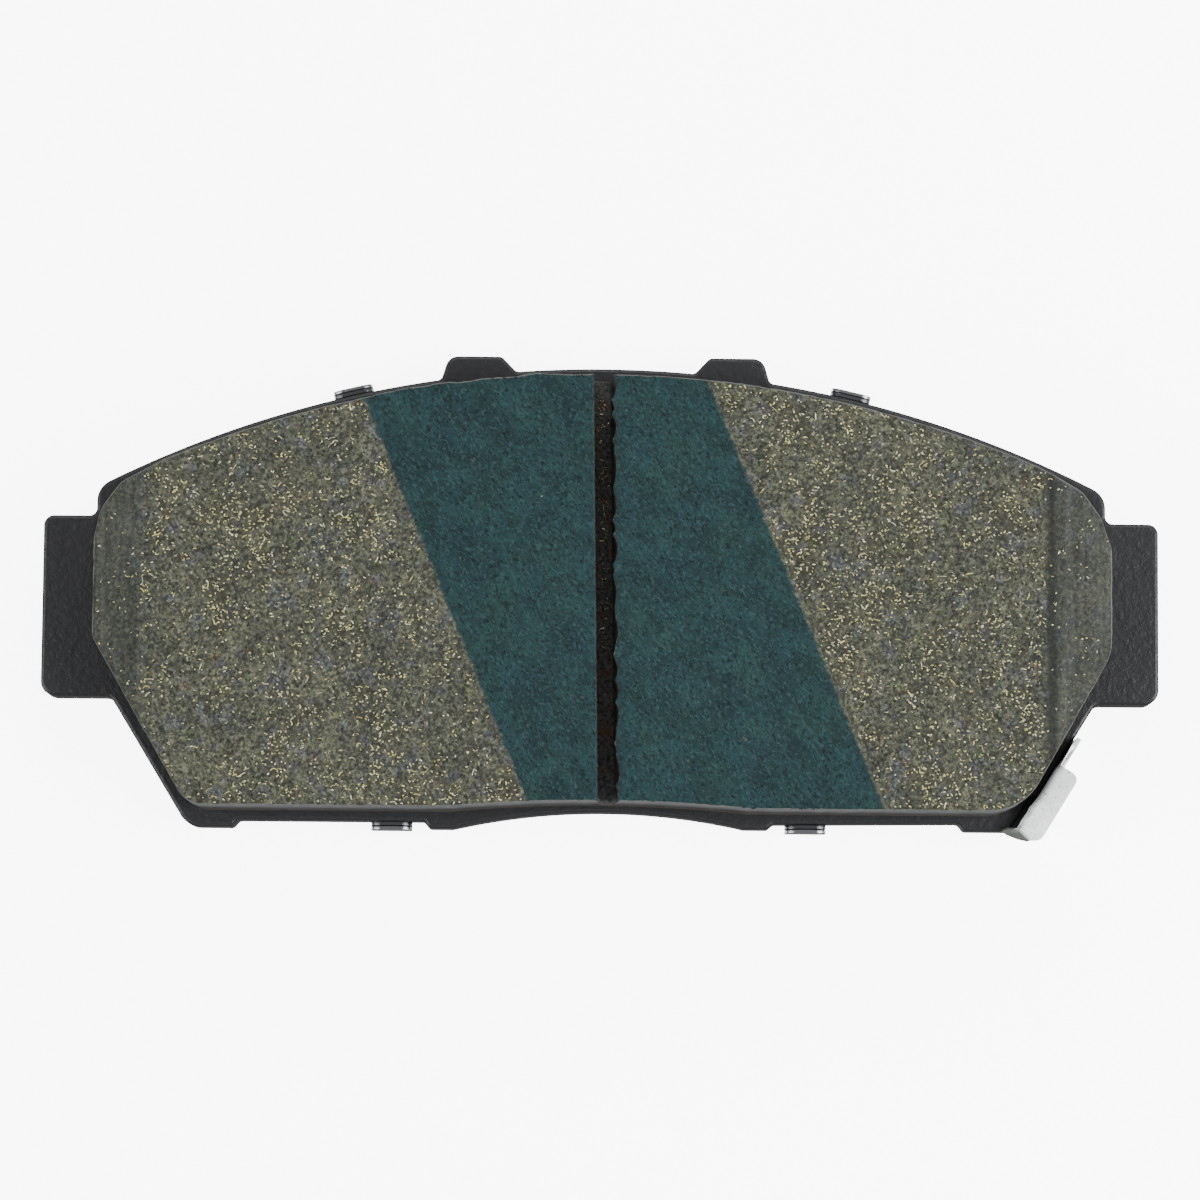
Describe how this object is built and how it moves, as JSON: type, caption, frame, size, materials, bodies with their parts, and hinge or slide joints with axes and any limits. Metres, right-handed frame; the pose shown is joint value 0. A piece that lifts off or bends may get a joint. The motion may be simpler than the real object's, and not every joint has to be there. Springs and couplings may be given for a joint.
{
  "type": "disc brake pad",
  "caption": "Arched disc brake pad: eared steel backing plate, chamfered and slotted friction block with a painted stripe, stacked clip-on shims and a sprung wear indicator.",
  "frame": {"origin": "on the outer shim's back face, where the piston presses, midway between the ears", "axes": "+X along the pad, +Y towards its outer edge, +Z towards the rotor"},
  "size_m": [0.15, 0.0653, 0.0173],
  "materials": {
    "plate_coat": "black powder coat with an orange-peel texture",
    "bond": "cured adhesive film",
    "underlayer": "matt pressed fibre and resin",
    "friction": "matt granular friction mix with brass fibres",
    "stripe_paint": "satin wrinkled marking paint",
    "shim_rubber": "thin matt rubber coat",
    "shim_core": "cold-rolled steel sheet",
    "shim_steel": "brushed stainless sheet",
    "zinc_steel": "satin zinc plate",
    "rivet_steel": "satin zinc plate"
  },
  "bodies": {
    "pad": {"backing_plate": "plate_coat", "bond_film": "bond", "underlayer": "underlayer", "friction_block": "friction", "marking_stripe_left": "stripe_paint", "marking_stripe_right": "stripe_paint", "shim_adhesive": "bond", "inner_shim_front_rubber": "shim_rubber", "inner_shim_core": "shim_core", "inner_shim_back_rubber": "shim_rubber", "outer_shim": "shim_steel", "wear_indicator_foot": "zinc_steel", "wear_indicator_rivet": "rivet_steel"},
    "indicator_reed": {"wear_indicator_reed": "zinc_steel"}
  },
  "joints": [
    {"name": "indicator_flex", "type": "hinge", "parent": "pad", "child": "indicator_reed", "pos_m": [0.06209, -0.02029, 0.00095], "axis": [0.521, 0.8536, 0], "range_deg": [-1.5, 5], "stiffness_Nm_per_rad": 0.3}
  ]
}
